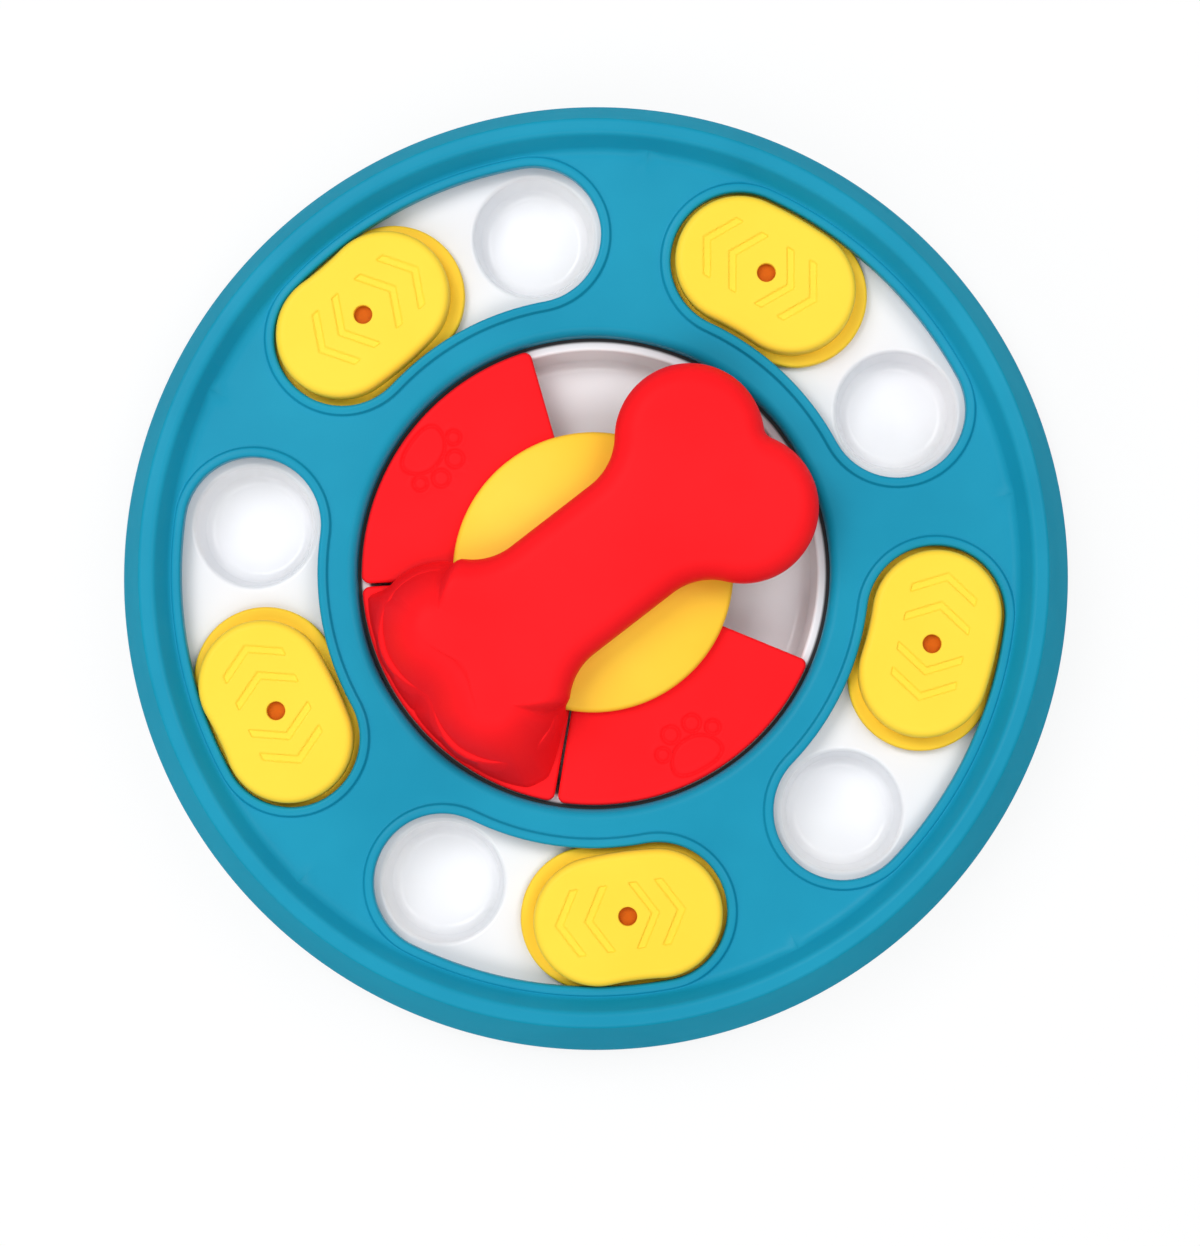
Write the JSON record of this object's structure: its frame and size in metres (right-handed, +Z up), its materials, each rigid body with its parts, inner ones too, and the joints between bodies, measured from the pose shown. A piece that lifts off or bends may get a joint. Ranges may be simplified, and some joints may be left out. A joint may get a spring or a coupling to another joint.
{
  "type": "dog puzzle feeder toy",
  "caption": "Round treat puzzle: sliding caps uncover treat cups in curved slots, and a turning bone and loose covers open a ring trough.",
  "frame": {"origin": "centre of the disc on the floor it stands on", "axes": "+Z up, +Y towards the top of the picture and +X to its right, with the bone's long axis 37.7 degrees from +X"},
  "size_m": [0.25, 0.25, 0.045],
  "materials": {
    "blue_shell": "satin moulded plastic",
    "white_gloss": "glossy moulded plastic",
    "yellow": "satin moulded plastic",
    "red": "satin moulded plastic",
    "steel": "plain zinc-plated",
    "black_rubber": "matt"
  },
  "bodies": {
    "base": {"top_shell": "blue_shell", "food_tray": "white_gloss", "case_screws": "steel", "rubber_foot_1": "black_rubber", "rubber_foot_2": "black_rubber", "rubber_foot_3": "black_rubber", "rubber_foot_4": "black_rubber", "rubber_foot_5": "black_rubber"},
    "turntable": {"turntable_dome": "yellow", "bone_handle": "red", "bone_screws": "steel", "pivot_washer": "steel", "pivot_screw": "steel"},
    "cover_left": {"cover_left": "red"},
    "cover_right": {"cover_right": "red"},
    "slider_1": {"slider_cap_1": "yellow", "slider_plate_1": "yellow"},
    "slider_2": {"slider_cap_2": "yellow", "slider_plate_2": "yellow"},
    "slider_3": {"slider_cap_3": "yellow", "slider_plate_3": "yellow"},
    "slider_4": {"slider_cap_4": "yellow", "slider_plate_4": "yellow"},
    "slider_5": {"slider_cap_5": "yellow", "slider_plate_5": "yellow"}
  },
  "joints": [
    {"name": "turntable_spin", "type": "hinge", "parent": "base", "child": "turntable", "pos_m": [0, 0, 0], "axis": [0, 0, 1], "continuous": true},
    {"name": "cover_left_slide", "type": "hinge", "parent": "turntable", "child": "cover_left", "pos_m": [0, 0, 0], "axis": [0, 0, 1], "range_deg": [-63.5, 0]},
    {"name": "cover_right_slide", "type": "hinge", "parent": "turntable", "child": "cover_right", "pos_m": [0, 0, 0], "axis": [0, 0, 1], "range_deg": [0, 63.5]},
    {"name": "slider_1_slide", "type": "hinge", "parent": "base", "child": "slider_1", "pos_m": [0, 0, 0], "axis": [0, 0, 1], "range_deg": [-26.6, 0]},
    {"name": "slider_2_slide", "type": "hinge", "parent": "base", "child": "slider_2", "pos_m": [0, 0, 0], "axis": [0, 0, 1], "range_deg": [-26.6, 0]},
    {"name": "slider_3_slide", "type": "hinge", "parent": "base", "child": "slider_3", "pos_m": [0, 0, 0], "axis": [0, 0, 1], "range_deg": [-26.6, 0]},
    {"name": "slider_4_slide", "type": "hinge", "parent": "base", "child": "slider_4", "pos_m": [0, 0, 0], "axis": [0, 0, 1], "range_deg": [-26.6, 0]},
    {"name": "slider_5_slide", "type": "hinge", "parent": "base", "child": "slider_5", "pos_m": [0, 0, 0], "axis": [0, 0, 1], "range_deg": [-26.6, 0]}
  ]
}
